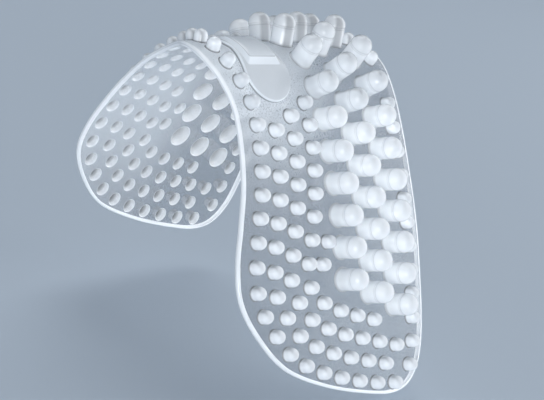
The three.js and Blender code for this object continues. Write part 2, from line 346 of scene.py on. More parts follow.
def dome_spots(sheet, domes, pegs, tab, loop, peg_places):
    """Rings of domes, and the row along the straight edge, where they are clear of pegs and tab."""
    found = []
    reach = 2 * sheet.half_length
    for ring, start in enumerate(RING_STARTS):
        path = ring_path(loop, sheet, domes, ring)
        distances = growing_distances(start * sheet.half_length, domes.pitch, domes.growth, reach)
        for along, across in points_along(path, distances):
            if across > RING_STOP * sheet.half_width:
                break
            found.append((along, across))
    edge = ring_path(loop, sheet, domes, 0)[::-1]
    distances = growing_distances(domes.edge_start, domes.edge_pitch, 0, reach)
    for along, across in points_along(edge, distances):
        if across < EDGE_STOP * sheet.half_width:
            break
        found.append((along, across))
    border = tab_loop(tab)
    spots = []
    for spot in np.array(found):
        to_peg = np.linalg.norm(peg_places - spot, axis=1).min()
        to_tab = np.linalg.norm(border - spot, axis=1).min()
        if to_peg < domes.radius + pegs.radius + domes.peg_gap:
            continue
        if to_tab < domes.radius + domes.tab_gap or inside(spot[None], border)[0]:
            continue
        spots.append(spot)
        if spot[0] > domes.radius:
            spots.append(spot * (-1, 1))
    return np.array(spots)


def tab_loop(tab):
    """The tab's outline: two round ends joined by sides that draw in to a waist."""
    centre = tab.half_length - tab.half_width
    angles = np.linspace(-math.pi / 2, math.pi / 2, tab.sides // 2)
    end = np.stack([centre + tab.half_width * np.cos(angles), tab.half_width * np.sin(angles)], axis=1)
    loop = np.vstack([end, [(0, tab.waist)], -end, [(0, -tab.waist)]])
    return even_loop(loop, tab.sides) - (0, tab.across)


def plateau_loop(tab, rise):
    """The raised middle's outline at a share of its rise: a rectangle with round corners."""
    half = np.array([
        tab.plateau_half_length + tab.ramp * (1 - rise),
        tab.plateau_half_width + tab.bevel * (1 - rise),
    ])
    corners = []
    for quarter, (x, y) in enumerate([(1, -1), (1, 1), (-1, 1), (-1, -1)]):
        angles = np.linspace(quarter - 1, quarter, ROUND_STEPS + 1) * math.pi / 2
        centre = (half - tab.corner) * (x, y)
        corners.append(centre + tab.corner * np.stack([np.cos(angles), np.sin(angles)], axis=1))
    loop = []
    for i, corner in enumerate(corners):
        following = corners[(i + 1) % 4][0]
        side = np.linspace(corner[-1], following, 2 * ROUND_STEPS, endpoint=False)[1:]
        loop.extend([corner, side])
    return np.concatenate(loop) - (0, tab.across)


def foot_ring(spot, radius, sides):
    angles = np.arange(sides) * 2 * math.pi / sides
    return spot + radius * np.stack([np.cos(angles), np.sin(angles)], axis=1)


def inside(points, loop):
    """Which points lie inside a closed loop, by the even-odd rule."""
    x, y = points[:, :1], points[:, 1:]
    ax, ay = loop[:, 0], loop[:, 1]
    bx, by = np.roll(ax, -1), np.roll(ay, -1)
    spans = (ay > y) != (by > y)
    rise = np.where(by == ay, 1, by - ay)
    crosses = spans & (x < (bx - ax) * (y - ay) / rise + ax)
    return crosses.sum(axis=1) % 2 == 1


# The bend


def bend_rows(sheet):
    """Starts of the arcs that the outer face follows: along, slope, curvature, x and z."""
    along = np.array([row.along for row in BEND]) * sheet.half_length
    slope = np.radians([row.slope for row in BEND])
    curvature = np.append(np.diff(slope) / np.diff(along), 0)
    curvature[np.abs(curvature) < STRAIGHT] = STRAIGHT
    x, z = np.zeros(len(BEND)), np.zeros(len(BEND))
    for i in range(len(BEND) - 1):
        end = slope[i] + curvature[i] * (along[i + 1] - along[i])
        x[i + 1] = x[i] + (math.sin(end) - math.sin(slope[i])) / curvature[i]
        z[i + 1] = z[i] + (math.cos(end) - math.cos(slope[i])) / curvature[i]
    top = [row.slope for row in BEND].index(0)
    return along, slope, curvature, x - x[top], z - z[top] + sheet.thickness


def on_pad(sheet, flat):
    """Carries points of the flat layout (along, across, lift) to the bent pad."""
    rows = bend_rows(sheet)
    along, across, lift = flat[..., 0], flat[..., 1], flat[..., 2]
    i = np.clip(np.searchsorted(rows[0], along, side="right") - 1, 0, len(BEND) - 2)
    start, slope, curvature, x, z = (column[i] for column in rows)
    end = slope + curvature * (along - start)
    x = x + (np.sin(end) - np.sin(slope)) / curvature + np.sin(end) * lift
    z = z + (np.cos(end) - np.cos(slope)) / curvature + np.cos(end) * lift
    part = np.clip(along / sheet.dip_reach, -1, 1)
    dip = sheet.dip * (1 + np.cos(math.pi * part)) / 2
    dip = dip - sheet.curl_set * (1 - np.cos(math.pi * np.minimum(part, 0))) / 2
    return np.stack([x, across - dip, z], axis=-1)


def upright_on_pad(sheet, spots, template, settle):
    """Stands copies of a bump on the bent pad: feet follow the bend, and tops keep their form."""
    flat = template[None] + np.pad(spots, ((0, 0), (0, 1)))[:, None]
    bent = on_pad(sheet, flat)
    feet = np.pad(spots, ((0, 0), (0, 1)))
    centre = on_pad(sheet, feet)
    normal = on_pad(sheet, feet + (0, 0, MM)) - centre
    normal /= np.linalg.norm(normal, axis=1)[:, None]
    across = np.broadcast_to(np.array([0.0, 1.0, 0.0]), normal.shape)
    tangent = np.cross(across, normal)
    rigid = centre[:, None] + sum(
        template[None, :, k, None] * axis[:, None] for k, axis in enumerate((tangent, across, normal))
    )
    weight = np.clip(template[:, 2] / settle, 0, 1)[None, :, None]
    weight = weight * weight * (3 - 2 * weight)
    return flat, bent * (1 - weight) + rigid * weight


# Building meshes


class Skin:
    """Gathers points of the flat layout and the faces between them."""

    def __init__(self):
        self.points = []
        self.faces = []

    def add(self, loop, lift):
        first = len(self.points)
        self.points.extend((x, y, lift) for x, y in loop)
        return list(range(first, first + len(loop)))

    def join(self, low, high):
        count = len(low)
        for i in range(count):
            k = (i + 1) % count
            self.faces.append((low[i], low[k], high[k], high[i]))

    def fill(self, loop, holes, spacing, lift):
        """Fills a loop, round its holes, with triangles on evenly set points."""
        loops = [loop, *holes]
        border = np.concatenate(loops)
        edges = []
        for part in loops:
            first = len(edges)
            edges.extend((first + i, first + (i + 1) % len(part)) for i in range(len(part)))
        grid = grid_in(loop, holes, border, spacing)
        points = [Vector(point) for point in np.vstack([border, grid])]
        found = geometry.delaunay_2d_cdt(points, edges, [], 0, CDT_GAP, True)
        first = len(self.points)
        self.points.extend((point.x, point.y, lift) for point in found[0])
        triangles = np.array(found[2])
        owner = np.repeat(np.arange(len(loops)), [len(part) for part in loops])
        owner = np.append(owner, np.full(len(grid), -1))
        owners = owner[[ids[0] for ids in found[3]]][triangles]
        centres = np.array([(point.x, point.y) for point in found[0]])[triangles].mean(axis=1)
        keep = inside(centres, loop)
        for number, hole in enumerate(holes, 1):
            own = np.flatnonzero((owners == number).all(axis=1))
            keep[own] &= ~inside(centres[own], hole)
        self.faces.extend(tuple(face) for face in (first + triangles[keep]).tolist())


def grid_in(loop, holes, border, spacing):
    """Evenly set points inside a loop and outside its holes, clear of all their edges."""
    low, high = loop.min(axis=0), loop.max(axis=0)
    points = []
    for i, across in enumerate(np.arange(low[1], high[1], spacing * math.sqrt(3) / 2)):
        first = low[0] + spacing / 2 * (i % 2)
        points.extend((along, across) for along in np.arange(first, high[0], spacing))
    points = np.array(points)
    keep = inside(points, loop)
    for hole in holes:
        keep &= ~inside(points, hole)
    points = points[keep]
    tree = kdtree.KDTree(len(border))
    for i, (along, across) in enumerate(border):
        tree.insert((along, across, 0), i)
    tree.balance()
    return np.array([point for point in points if tree.find((*point, 0))[2] > spacing / 2])


def make_mesh(name, places, flat, faces, materials, material_of_face=None, around=None):
    """A mesh that keeps each point's place on the flat pad and round its bump, for the materials."""
    mesh = bpy.data.meshes.new(name)
    mesh.from_pydata(places.tolist(), [], faces)
    layout = mesh.attributes.new("flat", "FLOAT_VECTOR", "POINT")
    layout.data.foreach_set("vector", np.asarray(flat, dtype=np.float32).ravel())
    if around is not None:
        spread = mesh.attributes.new("around", "FLOAT_VECTOR", "POINT")
        spread.data.foreach_set("vector", np.asarray(around, dtype=np.float32).ravel())
    for material in materials:
        mesh.materials.append(material)
    if material_of_face is not None:
        mesh.polygons.foreach_set("material_index", material_of_face)
    mesh.shade_smooth()
    piece = bpy.data.objects.new(name, mesh)
    bpy.context.scene.collection.objects.link(piece)
    return piece


def quarter(steps):
    return np.linspace(0, math.pi / 2, steps + 1)


def bump_profile(radius, height, cap, fillet, seam_depth=0.0, seam_width=0.0):
    """Radii and heights from a bump's foot to just short of its top."""
    turn = quarter(FOOT_STEPS)
    profile = list(zip(radius + fillet * (1 - np.sin(turn)), fillet * (1 - np.cos(turn))))
    shoulder = height - cap
    if seam_width:
        low = shoulder - SEAM_DROP * seam_width
        profile.append((radius, (fillet + low) / 2))
        for row in SEAM:
            profile.append((radius - row.depth * seam_depth, low + row.across * seam_width))
    for angle in quarter(CAP_STEPS)[:-1]:
        profile.append((radius * math.cos(angle), shoulder + cap * math.sin(angle)))
    return profile, height


def bump_template(profile, top, sides):
    """Points and faces of one bump round its own foot, open below."""
    skin = Skin()
    rings = [skin.add(foot_ring(np.zeros(2), radius, sides), lift) for radius, lift in profile]
    for low, high in zip(rings, rings[1:]):
        skin.join(low, high)
    (tip,) = skin.add([(0, 0)], top)
    last = rings[-1]
    skin.faces.extend((last[i], last[(i + 1) % sides], tip) for i in range(sides))
    return np.array(skin.points), skin.faces


def make_bumps(name, grip, spots, template, faces, settle, materials):
    """Copies of one bump. On the lobes they take the first material, whitened as if lit, a painted light;
    on the crown the second, clearer.
    """
    flat, places = upright_on_pad(grip.sheet, spots, template, settle)
    count = len(template)
    all_faces = [tuple(v + i * count for v in face) for i in range(len(spots)) for face in faces]
    # Bumps near the middle stay clearer; the rest take the copy whitened as if lit, a painted light
    clear = np.abs(spots[:, 0]) < grip.finish.painted_lit_from
    of_face = np.repeat(clear.astype(int), len(faces))
    around = np.tile(template, (len(spots), 1))
    around[:, 0] *= np.repeat(np.where(spots[:, 0] < 0, -1, 1), count)
    places, flat = places.reshape(-1, 3), flat.reshape(-1, 3)
    return make_mesh(name, places, flat, all_faces, materials, of_face, around)


class Layout:
    """Where everything lies on the flat pad."""

    def __init__(self, grip):
        sheet, domes, pegs, tab = grip.sheet, grip.domes, grip.pegs, grip.tab
        self.loop = outline_loop(sheet)
        self.pegs = peg_spots(sheet, pegs)
        self.domes = dome_spots(sheet, domes, pegs, tab, self.loop, self.pegs)
        peg_foot = pegs.radius + pegs.fillet
        self.peg_feet = [foot_ring(spot, peg_foot, pegs.sides) for spot in self.pegs]
        dome_foot = domes.radius + domes.fillet
        self.dome_feet = [foot_ring(spot, dome_foot, domes.sides) for spot in self.domes]
        self.tab = tab_loop(tab)


# Materials


IOR = 1.41
RELIEF = 0.05 * MM  # depth of the mould's grain
LIGHT_THROUGH = 0.7  # share of the light that passes through the bumps, the rim and the tab
SPECKLE = 0.28  # how strongly the grain shows in the sheet's haze
ROUGHNESS_SPREAD = 0.25  # how far the grain changes the roughness, as a share of it
CLOUD_SCALE = 1.5 * MM  # how far light spreads inside the pegs whitened as if lit
CLOUD_RADIUS = (0.9, 0.95, 1.0)

# Grain: share of the fine noise in it, detail of both, scale of the broad one, and the range in use
FINE_SHARE = 0.6
FINE_DETAIL = 3
BROAD_DETAIL = 2
BROAD_SCALE = 90
GRAIN_RANGE = (0.35, 0.65)

# Haze from the curled tip to the flat tip: place, and shares of the curled lobe, crown and flat lobe haze.
# The haze is partly real and partly painted sheen, whiter where the pad is seen at a glancing angle
HazeAndSheenStop = namedtuple("HazeAndSheenStop", "place far crown lobe")
HAZE_AND_SHEEN_STOPS = [
    HazeAndSheenStop(0.02, 0.6, 0, 0),
    HazeAndSheenStop(0.15, 1, 0, 0),
    HazeAndSheenStop(0.34, 0.5, 0.5, 0),
    HazeAndSheenStop(0.44, 0, 1, 0),
    HazeAndSheenStop(0.6, 0, 1, 0),
    HazeAndSheenStop(0.68, 0, 0.5, 0.5),
    HazeAndSheenStop(0.78, 0, 0, 1),
    HazeAndSheenStop(0.98, 0, 0, 1),
]
HAZE_AND_SHEEN_SIDES = (-0.3, 0.5)  # shares of half the width between which the haze and painted sheen fade
TINT_POWER = 2  # how much faster the sheet's tint, painted shade where the haze is least, fades than its haze

# Painted shade fan on a bump, grey that stands in for light bent inside it: how narrow it is, how far it
# reaches past the bump's middle towards the tip, and how far it is set towards the waved edge
SHADE_FAN_SPREAD = 1.6
SHADE_FAN_REACH = 0.25 * MM
SHADE_FAN_ASIDE = 0.75 * MM

# Tints over a height, as rows of share and grey. Painted shade: dark at the feet, grey towards the tops of
# domes and pegs, deeper inside a bump seen through the back, and grey lines at the edges of the peg's
# groove and along the tab's slopes. The rim's rows lay a grey line along the middle of its edge
DOME_PAINTED_SHADE = [(0.0, 0.3), (0.06, 0.45), (0.13, 0.97), (0.7, 1.0), (0.88, 0.95), (1.0, 0.8)]
DOME_INNER_PAINTED_SHADE = [(0.0, 1.0), (0.4, 1.0), (0.6, 0.6), (0.8, 0.25), (1.0, 0.2)]
PEG_PAINTED_SHADE = [
    (0.0, 0.5), (0.03, 0.7), (0.08, 0.95), (0.53, 0.97), (0.555, 0.8), (0.58, 0.97),
    (0.6, 0.97), (0.62, 0.82), (0.65, 1.0), (0.9, 0.97), (1.0, 0.85),
]
PEG_INNER_PAINTED_SHADE = [(0.0, 1.0), (0.2, 1.0), (0.4, 0.75), (0.55, 0.55), (1.0, 0.5)]
# The rim's finish is painted white as a highlight; these rows lay a grey line along the middle of its edge
RIM_RISE = [(0.0, 1.0), (0.35, 1.0), (0.5, 0.8), (0.65, 1.0), (1.0, 1.0)]
TAB_PAINTED_SHADE = [
    (0.0, 0.3), (0.22, 0.5), (0.28, 1.0), (0.45, 1.0), (0.46, 0.76), (0.465, 0.76), (0.5, 0.97),
    (0.92, 1.0), (0.96, 0.5), (1.0, 0.84),
]

# Low and high are colours of the finish, clearness its transmission, cloud its subsurface weight, haze the
# strength of its haze and painted sheen, rise its painted shade over height, and fan the tint left in the
# painted shade fan
Surface = namedtuple("Surface", "name low high roughness clearness cloud haze rise fan bump")
SURFACES = [
    Surface("Clear sheet", "shade", "clear", 0.32, 0.2, 0, 1, None, 1, 0.5),
    Surface("Smooth back", "clear", "clear", 0.2, 0.3, 0, 0.22, None, 1, 0.1),
    # The rim is painted white as a highlight where the edge catches light
    Surface("Rim with painted highlight", "clear", "milk", 0.16, 0.05, 0, None, "rim", 1, 0.1),
    # Domes and pegs: two copies of one silicone, whitened as if lit on the lobes (painted light), clearer
    # on the crown
    Surface("Dome whitened as if lit", "clear", "milk", 0.18, 0.1, 0, None, "dome", 0.6, 0.15),
    Surface("Clear dome", "clear", "milk", 0.14, 0.3, 0, None, "dome", 0.5, 0.15),
    Surface("Peg whitened as if lit", "clear", "milk", 0.2, 0.05, 0.3, None, "peg", 0.92, 0.15),
    Surface("Clear peg", "clear", "milk", 0.14, 0.35, 0, None, "peg", 0.6, 0.15),
    Surface("Smooth tab", "shade", "clear", 0.2, 0.2, 0, None, "tab", 1, 0.1),
]


def put(tree, value, target):
    """Links a socket to an input, or sets the input to a plain value."""
    if isinstance(value, bpy.types.NodeSocket):
        tree.links.new(value, target)
    else:
        target.default_value = value


def math_node(tree, operation, *values):
    node = tree.nodes.new("ShaderNodeMath")
    node.operation = operation
    for slot, value in enumerate(values):
        put(tree, value, node.inputs[slot])
    return node.outputs[0]


def mix_node(tree, blend, factor, first, second):
    node = tree.nodes.new("ShaderNodeMix")
    node.data_type = "RGBA"
    node.blend_type = blend
    for label, value in (("Factor", factor), ("A", first), ("B", second)):
        put(tree, value, node.inputs[label])
    return node.outputs["Result"]


def range_node(tree, source, span, to=(0, 1), kind="LINEAR"):
    node = tree.nodes.new("ShaderNodeMapRange")
    node.interpolation_type = kind
    labels = ("Value", "From Min", "From Max", "To Min", "To Max")
    for label, value in zip(labels, (source, *span, *to)):
        put(tree, value, node.inputs[label])
    return node.outputs["Result"]


def ramp_node(tree, source, stops, kind="LINEAR"):
    """A colour ramp with stops from rows of position and grey."""
    node = tree.nodes.new("ShaderNodeValToRGB")
    ramp = node.color_ramp
    ramp.interpolation = kind
    ramp.elements.remove(ramp.elements[-1])
    for i, (position, grey) in enumerate(stops):
        element = ramp.elements[0] if i == 0 else ramp.elements.new(position)
        element.position = position
        element.color = (grey, grey, grey, 1)
    tree.links.new(source, node.inputs["Fac"])
    return node.outputs["Color"]


def noise_node(tree, place, scale, detail):
    node = tree.nodes.new("ShaderNodeTexNoise")
    for label, value in (("Vector", place), ("Scale", scale), ("Detail", detail)):
        put(tree, value, node.inputs[label])
    return node.outputs["Fac"]


def attribute_parts(tree, name):
    """The three parts of a vector that the mesh keeps for each of its points."""
    node = tree.nodes.new("ShaderNodeAttribute")
    node.attribute_name = name
    parts = tree.nodes.new("ShaderNodeSeparateXYZ")
    tree.links.new(node.outputs["Vector"], parts.inputs["Vector"])
    return parts.outputs["X"], parts.outputs["Y"], parts.outputs["Z"]


def new_group(name, inputs, outputs):
    group = bpy.data.node_groups.new(name, "ShaderNodeTree")
    for label, kind, value in inputs:
        made = group.interface.new_socket(name=label, in_out="INPUT", socket_type=kind)
        made.default_value = value
    for label, kind in outputs:
        group.interface.new_socket(name=label, in_out="OUTPUT", socket_type=kind)
    return group, group.nodes.new("NodeGroupInput").outputs, group.nodes.new("NodeGroupOutput").inputs


def place_group(tree, group, values):
    node = tree.nodes.new("ShaderNodeGroup")
    node.node_tree = group
    for label, value in values.items():
        node.inputs[label].default_value = value
    return node.outputs


def grain_group():
    """Fine satin grain of the mould: a height for bump, and a spread for roughness and colour."""
    tree, start, end = new_group(
        "Mould grain",
        [
            ("Grain scale", "NodeSocketFloat", 2800.0),
            ("Low roughness", "NodeSocketFloat", 0.2),
            ("High roughness", "NodeSocketFloat", 0.35),
            ("Dark", "NodeSocketColor", (0.8, 0.85, 0.9, 1)),
            ("Light", "NodeSocketColor", (1, 1, 1, 1)),
        ],
        [("Height", "NodeSocketFloat"), ("Roughness", "NodeSocketFloat"), ("Colour", "NodeSocketColor")],
    )
    place = tree.nodes.new("ShaderNodeTexCoord").outputs["Object"]
    fine = noise_node(tree, place, start["Grain scale"], FINE_DETAIL)
    broad = noise_node(tree, place, BROAD_SCALE, BROAD_DETAIL)
    rest = math_node(tree, "MULTIPLY", broad, 1 - FINE_SHARE)
    blend = math_node(tree, "MULTIPLY_ADD", fine, FINE_SHARE, rest)
    spread = (start["Low roughness"], start["High roughness"])
    put(tree, fine, end["Height"])
    put(tree, range_node(tree, blend, GRAIN_RANGE, spread), end["Roughness"])
    put(tree, mix_node(tree, "MIX", blend, start["Dark"], start["Light"]), end["Colour"])
    return tree


def haze_and_sheen_group(grip):
    """How hazy the pad looks along and across it, its tint there, and how far a point stands off it.

    The haze is partly real and partly painted sheen; the tint is painted shade where the haze is least.
    """
    tree, start, end = new_group(
        "Pad haze and painted sheen",
        [
            ("Strength", "NodeSocketFloat", 1.0),
            ("Thin painted shade", "NodeSocketColor", (0.4, 0.4, 0.4, 1)),
            ("Thick", "NodeSocketColor", (1, 1, 1, 1)),
        ],
        [("Haze", "NodeSocketFloat"), ("Tint", "NodeSocketColor"), ("Lift", "NodeSocketFloat")],
    )
    sheet, finish = grip.sheet, grip.finish
    along, across, lift = attribute_parts(tree, "flat")
    hazes = (finish.far_haze_and_sheen, finish.crown_haze_and_sheen, finish.lobe_haze_and_sheen)
    stops = [(row.place, sum(part * haze for part, haze in zip(row[1:], hazes))) for row in HAZE_AND_SHEEN_STOPS]
    place = range_node(tree, along, (-sheet.half_length, sheet.half_length))
    sides = [side * sheet.half_width for side in HAZE_AND_SHEEN_SIDES]
    aside = range_node(tree, across, sides, (1, finish.aside_haze_and_sheen), "SMOOTHSTEP")
    spread = math_node(tree, "MULTIPLY", ramp_node(tree, place, stops, "B_SPLINE"), aside)
    depth = math_node(tree, "POWER", spread, TINT_POWER)
    put(tree, math_node(tree, "MULTIPLY", spread, start["Strength"]), end["Haze"])
    put(tree, mix_node(tree, "MIX", depth, start["Thin painted shade"], start["Thick"]), end["Tint"])
    put(tree, lift, end["Lift"])
    return tree


def painted_shade_fan_group(grip):
    """Painted shade fan: a grey fan on the side of a bump that faces the middle of the pad, standing in
    for light bent inside it.
    """
    tree, start, end = new_group(
        "Painted shade fan", [("Least", "NodeSocketFloat", 1.0)], [("Shade", "NodeSocketFloat")]
    )
    along, across, _ = attribute_parts(tree, "around")
    width = math_node(tree, "ABSOLUTE", math_node(tree, "ADD", across, SHADE_FAN_ASIDE))
    fan = math_node(tree, "MULTIPLY_ADD", width, SHADE_FAN_SPREAD, along)
    span = (-grip.domes.radius, SHADE_FAN_REACH)
    put(tree, range_node(tree, fan, span, (start["Least"], 1), "SMOOTHSTEP"), end["Shade"])
    return tree


Rise = namedtuple("Rise", "low high outer inner")


def rise_painted_shade(tree, groups, rise, fan, lift):
    """Painted shade over the height between two lifts, seen from outside or inside, with the painted shade
    fan on it.
    """
    height = range_node(tree, lift, (rise.low, rise.high))
    inside_of = tree.nodes.new("ShaderNodeNewGeometry").outputs["Backfacing"]
    outer, inner = (ramp_node(tree, height, stops) for stops in (rise.outer, rise.inner))
    tint = mix_node(tree, "MIX", inside_of, outer, inner)
    shade = place_group(tree, groups["fan"], {"Least": fan})["Shade"]
    return mix_node(tree, "MULTIPLY", 1, tint, shade)


def silicone(surface, groups, finish, rises):
    """A silicone finish: grain drives its colour, roughness and bump.

    With haze, its alpha and tint follow the haze along the pad: partly real haze, partly painted sheen,
    with painted shade where the haze is least. Otherwise its tint is painted shade over the height over
    the sheet, and most light passes through it to what lies behind.
    """
    material = bpy.data.materials.new(surface.name)
    material.use_nodes = True
    tree = material.node_tree
    shader = tree.nodes["Principled BSDF"].inputs
    shader["IOR"].default_value = IOR
    shader["Transmission Weight"].default_value = surface.clearness
    shader["Subsurface Weight"].default_value = surface.cloud
    shader["Subsurface Scale"].default_value = CLOUD_SCALE
    shader["Subsurface Radius"].default_value = CLOUD_RADIUS
    grain = place_group(
        tree,
        groups["grain"],
        {
            "Grain scale": 1 / finish.grain,
            "Dark": (*getattr(finish, surface.low), 1),
            "Light": (*getattr(finish, surface.high), 1),
            "Low roughness": surface.roughness * (1 - ROUGHNESS_SPREAD),
            "High roughness": surface.roughness * (1 + ROUGHNESS_SPREAD),
        },
    )
    relief = tree.nodes.new("ShaderNodeBump")
    relief.inputs["Strength"].default_value = surface.bump
    relief.inputs["Distance"].default_value = RELIEF
    put(tree, grain["Height"], relief.inputs["Height"])
    put(tree, relief.outputs["Normal"], shader["Normal"])
    put(tree, grain["Roughness"], shader["Roughness"])
    veil = place_group(tree, groups["haze"], {"Thin painted shade": (*finish.thin_painted_shade, 1), "Strength": surface.haze or 1})
    if surface.haze is not None:
        # The tint is painted shade where the haze is least; the haze is partly painted sheen
        tint = veil["Tint"]
        speckle = math_node(tree, "MULTIPLY_ADD", grain["Height"], SPECKLE, -SPECKLE / 2)
        alpha = math_node(tree, "ADD", speckle, veil["Haze"])
    else:
        # Painted shade over the bump's height, with the painted shade fan on it
        tint = rise_painted_shade(tree, groups, rises[surface.rise], surface.fan, veil["Lift"])
        shadow = tree.nodes.new("ShaderNodeLightPath").outputs["Is Shadow Ray"]
        alpha = math_node(tree, "MULTIPLY_ADD", shadow, -LIGHT_THROUGH, 1)
    put(tree, alpha, shader["Alpha"])
    put(tree, mix_node(tree, "MULTIPLY", 1, grain["Colour"], tint), shader["Base Color"])


def finishes(grip):
    """The moulding's finishes, made once."""
    if SURFACES[0].name in bpy.data.materials:
        return bpy.data.materials
    groups = {"grain": grain_group(), "haze": haze_and_sheen_group(grip), "fan": painted_shade_fan_group(grip)}
    rises = {
        "dome": Rise(0, grip.domes.height, DOME_PAINTED_SHADE, DOME_INNER_PAINTED_SHADE),
        "peg": Rise(0, grip.pegs.height, PEG_PAINTED_SHADE, PEG_INNER_PAINTED_SHADE),
        "tab": Rise(0, grip.tab.plateau_rise, TAB_PAINTED_SHADE, TAB_PAINTED_SHADE),
        "rim": Rise(-grip.sheet.thickness, 0, RIM_RISE, RIM_RISE),
    }
    for surface in SURFACES:
        silicone(surface, groups, grip.finish, rises)
    return bpy.data.materials


# Operators


class HEELGRIP_OT_sheet(bpy.types.Operator):
    """Make the bent sheet with its round rim, open where bumps and tab stand on it"""

    bl_idname = "heelgrip.sheet"
    bl_label = "Sheet"

    def execute(self, context):
        grip = context.scene.heel_grip
        sheet = grip.sheet
        layout = Layout(grip)
        border = layout.loop[::LOOP_STRIDE]
        skin = Skin()
        holes = [*layout.dome_feet, *layout.peg_feet, layout.tab]
        edge = inset(border, sheet.rim + sheet.band)
        skin.fill(edge, holes, sheet.spacing, 0)
        of_face = [0] * len(skin.faces)
        skin.fill(edge, [], sheet.spacing, -sheet.thickness)
        of_face += [1] * (len(skin.faces) - len(of_face))
        rings = [skin.add(edge, -sheet.thickness)]
        for low, side in ((-sheet.thickness + sheet.rim, -1), (-sheet.rim, 1)):
            for angle in quarter(ROUND_STEPS)[::side]:
                loop = inset(border, sheet.rim * (1 - math.cos(angle)))
                rings.append(skin.add(loop, low + side * sheet.rim * math.sin(angle)))
        rings.append(skin.add(edge, 0))
        for low, high in zip(rings, rings[1:]):
            skin.join(low, high)
        flat = np.array(skin.points)
        made = finishes(grip)
        of_face += [2] * (len(skin.faces) - len(of_face))
        # The rim is painted white as a highlight where the edge catches light
        materials = [made["Clear sheet"], made["Smooth back"], made["Rim with painted highlight"]]
        make_mesh("sheet", on_pad(sheet, flat), flat, skin.faces, materials, of_face)
        return {"FINISHED"}


class HEELGRIP_OT_domes(bpy.types.Operator):
    """Make the rings of small domes"""

    bl_idname = "heelgrip.domes"
    bl_label = "Domes"

    def execute(self, context):
        grip = context.scene.heel_grip
        domes = grip.domes
        profile = bump_profile(domes.radius, domes.height, domes.radius, domes.fillet)
        template, faces = bump_template(*profile, domes.sides)
        spots = Layout(grip).domes
        settle = domes.height * DOME_SETTLE
        made = finishes(grip)
        # Whitened as if lit on the lobes, a painted light; clearer on the crown
        materials = [made["Dome whitened as if lit"], made["Clear dome"]]
        make_bumps("domes", grip, spots, template, faces, settle, materials)
        return {"FINISHED"}


class HEELGRIP_OT_pegs(bpy.types.Operator):
    """Make the three staggered columns of tall pegs"""

    bl_idname = "heelgrip.pegs"
    bl_label = "Pegs"

    def execute(self, context):
        grip = context.scene.heel_grip
        pegs = grip.pegs
        profile = bump_profile(
            pegs.radius, pegs.height, pegs.cap, pegs.fillet, pegs.seam_depth, pegs.seam_width
        )
        template, faces = bump_template(*profile, pegs.sides)
        spots = Layout(grip).pegs
        settle = pegs.height * PEG_SETTLE
        made = finishes(grip)
        # Whitened as if lit on the lobes, a painted light; clearer on the crown
        materials = [made["Peg whitened as if lit"], made["Clear peg"]]
        make_bumps("pegs", grip, spots, template, faces, settle, materials)
        return {"FINISHED"}


class HEELGRIP_OT_tab(bpy.types.Operator):
    """Make the smooth tab and its raised middle"""

    bl_idname = "heelgrip.tab"
    bl_label = "Tab"

    def execute(self, context):
        grip = context.scene.heel_grip
        tab, sheet = grip.tab, grip.sheet
        border = tab_loop(tab)
        skin = Skin()
        rings = []
        for angle in quarter(ROUND_STEPS):
            loop = inset(border, tab.edge * (1 - math.cos(angle)))
            rings.append(skin.add(loop, tab.rise * math.sin(angle)))
        foot, crest = plateau_loop(tab, 0), plateau_loop(tab, 1)
        skin.fill(loop, [foot], sheet.spacing, tab.rise)
        climb = tab.plateau_rise - tab.rise
        slopes = []
        for part in SLOPE_PARTS:
            slopes.append(skin.add(foot + (crest - foot) * part, tab.rise + climb * part))
        skin.fill(crest, [], sheet.spacing, tab.plateau_rise)
        for low, high in [*zip(rings, rings[1:]), *zip(slopes, slopes[1:])]:
            skin.join(low, high)
        flat = np.array(skin.points)
        material = finishes(grip)["Smooth tab"]
        make_mesh("tab", on_pad(sheet, flat), flat, skin.faces, [material])
        return {"FINISHED"}


class HEELGRIP_OT_fuse(bpy.types.Operator):
    """Fuse sheet, domes, pegs and tab into the one moulding that stands for the pad"""

    bl_idname = "heelgrip.fuse"
    bl_label = "Fuse the moulding"

    def execute(self, context):
        parts = [bpy.data.objects.get(name) for name in ("sheet", "domes", "pegs", "tab")]
        if None in parts:
            raise RuntimeError("make the sheet, domes, pegs and tab before they are fused")
        with context.temp_override(active_object=parts[0], selected_editable_objects=parts):
            bpy.ops.object.join()
        piece = parts[0]
        piece.name = PIECE
        piece.data.name = PIECE
        work = bmesh.new()
        work.from_mesh(piece.data)
        bmesh.ops.remove_doubles(work, verts=work.verts, dist=WELD)
        bmesh.ops.recalc_face_normals(work, faces=work.faces)
        open_edges = sum(len(edge.link_faces) != 2 for edge in work.edges)
        work.to_mesh(piece.data)
        work.free()
        if open_edges:
            raise RuntimeError(f"the moulding isn't closed: {open_edges} edges are open")
        piece.data.shade_smooth()
        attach(piece, BODY)
        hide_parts(NODE)
        return {"FINISHED"}


class HEELGRIP_OT_stage(bpy.types.Operator):
    """Make the floor, the soft lights and the camera"""

    bl_idname = "heelgrip.stage"
    bl_label = "Stage"

    def execute(self, context):
        scene = context.scene
        grip = scene.heel_grip
        make_floor(grip)
        make_lights()
        make_camera(scene)
        return {"FINISHED"}


FLOOR_HALF = 6.0
FLOOR_GAP = 0.2 * MM  # under the lowest point of the solids
FLOOR_ROUGHNESS = 0.9
TARGET = Vector((0.004, -0.002, -0.026))  # what the lights point at


